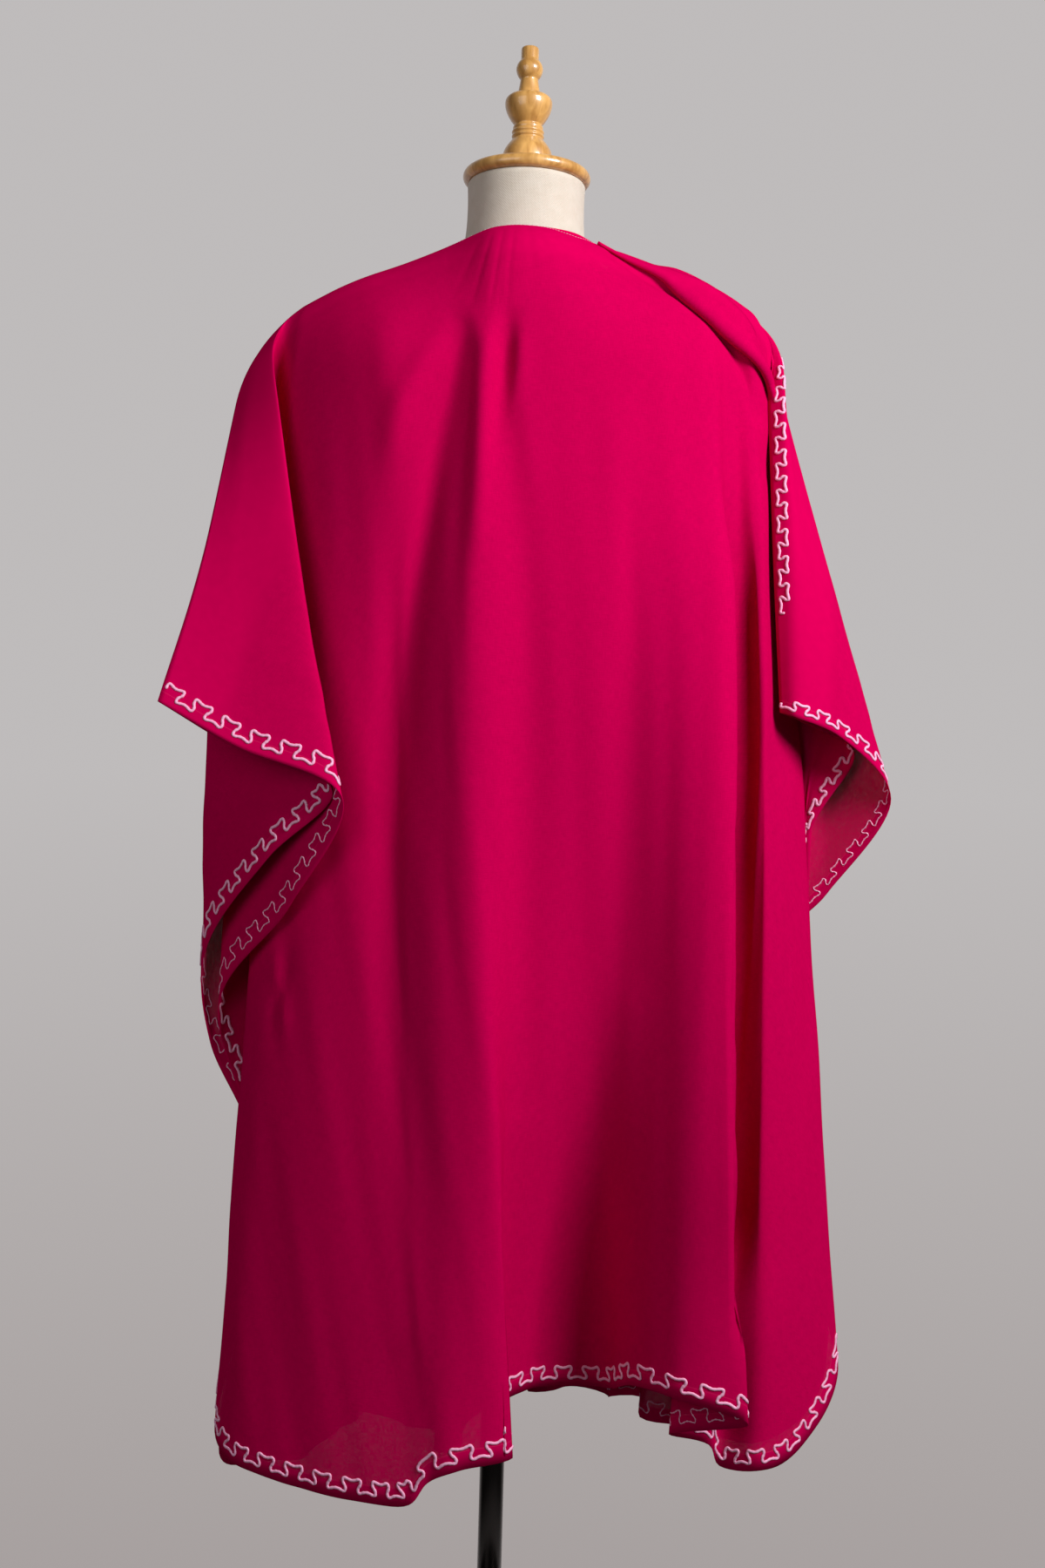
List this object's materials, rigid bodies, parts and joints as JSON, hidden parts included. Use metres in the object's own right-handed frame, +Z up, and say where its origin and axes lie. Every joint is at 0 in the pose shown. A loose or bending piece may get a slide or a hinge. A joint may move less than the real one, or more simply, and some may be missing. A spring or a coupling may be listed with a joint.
{
  "type": "kaftan on a dress form stand",
  "caption": "Plain magenta kaftan with a pale meander border, worn back to the viewer by a limbless dress form with a turned wooden finial, on a pole and a round base.",
  "frame": {"origin": "middle of the footprint of the whole object, on the floor under the round base", "axes": "+Z up, -Y out of the kaftan's back, +X towards the wearer's right hand"},
  "size_m": [0.7226, 0.35, 1.6576],
  "materials": {
    "magenta_cloth": "matt plain weave viscose with a slight sheen",
    "form_linen": "tight pale linen cover",
    "varnished_wood": "turned and varnished",
    "black_chrome": "dark polished"
  },
  "bodies": {
    "root": {"back_body": "magenta_cloth", "back_sleeve_left": "magenta_cloth", "back_sleeve_right": "magenta_cloth", "front_body": "magenta_cloth", "front_sleeve_left": "magenta_cloth", "front_sleeve_right": "magenta_cloth", "form_torso": "form_linen", "form_neck": "form_linen", "neck_cap": "varnished_wood", "finial": "varnished_wood", "pole_socket": "black_chrome", "pole": "black_chrome", "base_collar": "black_chrome", "base": "black_chrome"}
  },
  "joints": []
}
